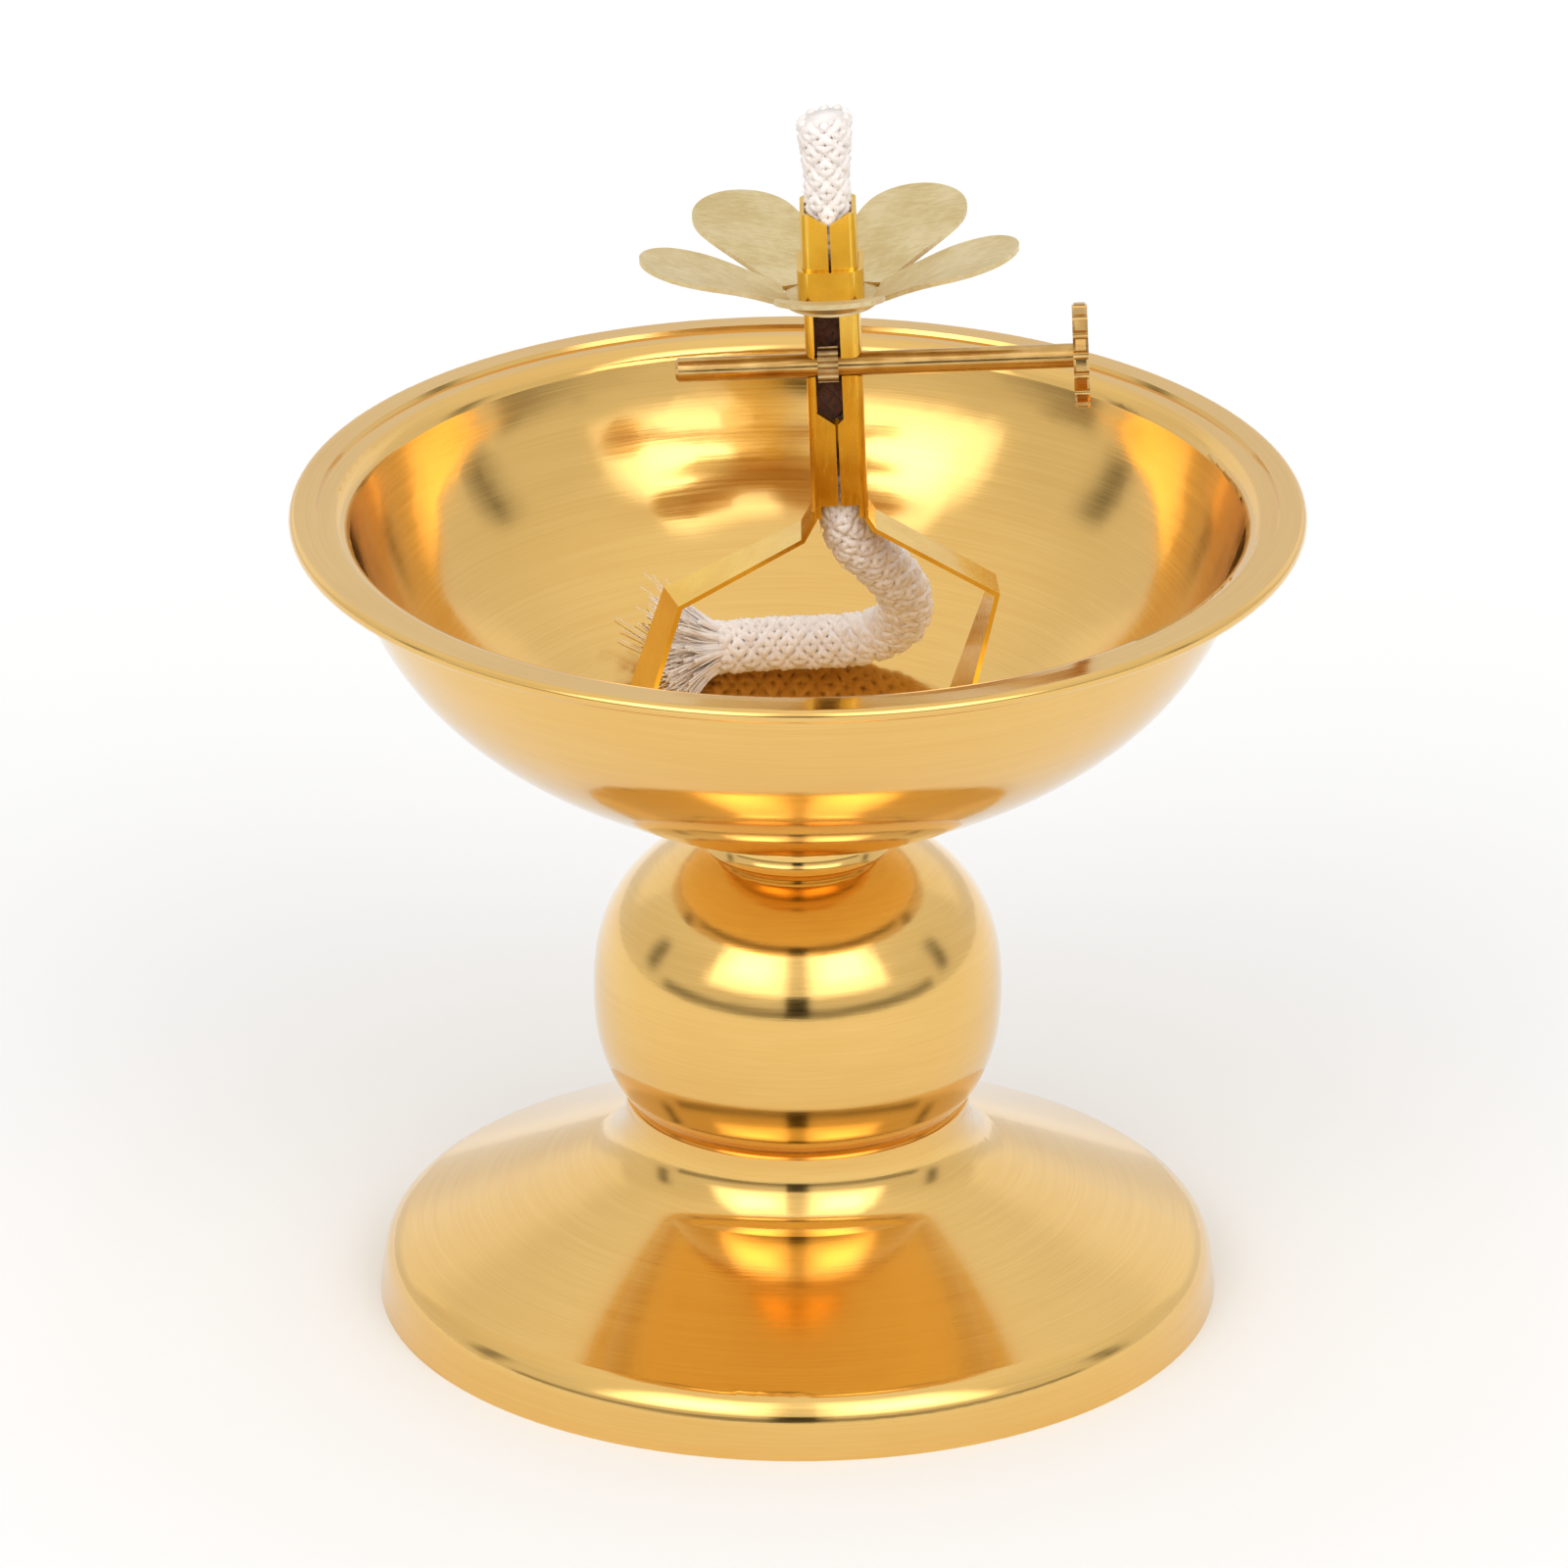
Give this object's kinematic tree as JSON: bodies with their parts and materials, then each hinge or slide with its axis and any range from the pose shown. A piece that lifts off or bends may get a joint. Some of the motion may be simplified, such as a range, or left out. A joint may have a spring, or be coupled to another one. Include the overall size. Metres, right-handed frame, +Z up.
{
  "type": "pedestal oil lamp",
  "caption": "Spun brass pedestal oil lamp: round foot, ball stem, flared bowl, and a lift-out wick holder with a petal tray and a side adjuster knob.",
  "frame": {"origin": "middle of the face that the foot stands on", "axes": "+Z up along the lamp's axis, +X towards the adjuster knob, -Y towards the open front of the wick tube"},
  "size_m": [0.1, 0.1, 0.1256],
  "materials": {
    "spun_brass": "polished, fine circular spinning lines, lacquered",
    "sheet_brass": "polished sheet",
    "petal_brass": "matt, pale",
    "rod_brass": "drawn rod, bright, slightly darkened",
    "raw_brass": "machined, unpolished",
    "plated_steel": "zinc plated",
    "wick_cotton": "braided cotton"
  },
  "bodies": {
    "base": {"foot_shell": "spun_brass", "stem_ball": "spun_brass", "neck_collar": "spun_brass", "bowl": "spun_brass", "bowl_boss": "raw_brass", "tie_rod": "plated_steel", "clamp_washer": "plated_steel", "spring_washer": "plated_steel", "hex_nut": "plated_steel"},
    "holder": {"wick_holder_frame": "sheet_brass", "petal_tray": "petal_brass", "tray_ferrule": "sheet_brass", "wick_tail": "wick_cotton"},
    "adjuster": {"adjuster_shaft": "rod_brass", "adjuster_knob": "rod_brass", "feed_wheel": "raw_brass"},
    "wick": {"wick_feed": "wick_cotton"}
  },
  "joints": [
    {"name": "holder_lift", "type": "slide", "parent": "base", "child": "holder", "axis": [0, 0, 1], "range_m": [0, 0.035]},
    {"name": "adjuster_turn", "type": "hinge", "parent": "holder", "child": "adjuster", "pos_m": [0.00355, -0.0019, 0.09983], "axis": [0.9992, 0, 0.0401], "range_deg": [-125, 125]},
    {"name": "wick_travel", "type": "slide", "parent": "holder", "child": "wick", "axis": [-0.0401, 0, 0.9992], "range_m": [-0.004, 0.004]}
  ],
  "couplings": [
    {"joint": "wick_travel", "follows": "adjuster_turn", "m_per_rad": 0.0018}
  ]
}
